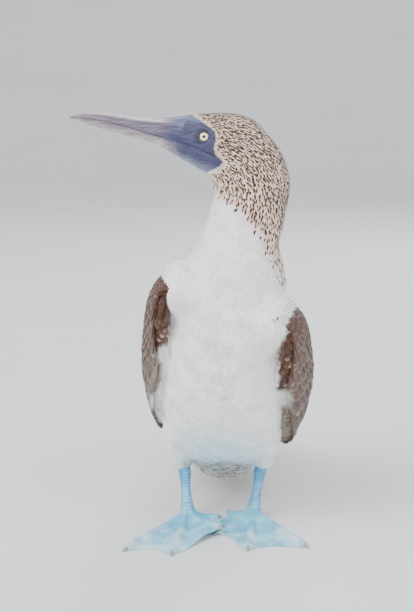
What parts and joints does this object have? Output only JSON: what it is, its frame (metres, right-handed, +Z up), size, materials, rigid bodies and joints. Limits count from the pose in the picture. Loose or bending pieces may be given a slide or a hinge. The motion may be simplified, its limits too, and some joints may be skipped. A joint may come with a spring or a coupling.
{
  "type": "seabird model",
  "caption": "Life-size standing blue-footed booby with its head turned to its right, feet and folded tail resting on the ground.",
  "frame": {"origin": "on the ground, under the middle of the whole bird's box", "axes": "+Z up; -Y the way the breast faces; +X towards the bird's own left"},
  "size_m": [0.2121, 0.4001, 0.3927],
  "materials": {
    "head": "short streaked feathers",
    "bill_upper": "horn, lightly polished",
    "bill_lower": "horn, lightly polished",
    "eye_left": "wet and glossy",
    "eye_right": "wet and glossy",
    "neck": "short streaked feathers",
    "torso": "soft white feathers",
    "wing_left": "smooth contour feathers",
    "wing_right": "smooth contour feathers",
    "tail": "smooth contour feathers",
    "thigh_left": "soft white feathers",
    "thigh_right": "soft white feathers",
    "tarsus_left": "scaled skin",
    "tarsus_right": "scaled skin",
    "foot_left": "scaled skin",
    "foot_right": "scaled skin",
    "claw_left_1": "horn",
    "claw_left_2": "horn",
    "claw_left_3": "horn",
    "claw_left_4": "horn",
    "claw_right_1": "horn",
    "claw_right_2": "horn",
    "claw_right_3": "horn",
    "claw_right_4": "horn"
  },
  "bodies": {
    "root": {"head": "head", "bill_upper": "bill_upper", "bill_lower": "bill_lower", "eye_left": "eye_left", "eye_right": "eye_right", "neck": "neck", "torso": "torso", "wing_left": "wing_left", "wing_right": "wing_right", "tail": "tail", "thigh_left": "thigh_left", "thigh_right": "thigh_right", "tarsus_left": "tarsus_left", "tarsus_right": "tarsus_right", "foot_left": "foot_left", "foot_right": "foot_right", "claw_left_1": "claw_left_1", "claw_left_2": "claw_left_2", "claw_left_3": "claw_left_3", "claw_left_4": "claw_left_4", "claw_right_1": "claw_right_1", "claw_right_2": "claw_right_2", "claw_right_3": "claw_right_3", "claw_right_4": "claw_right_4"}
  },
  "joints": []
}
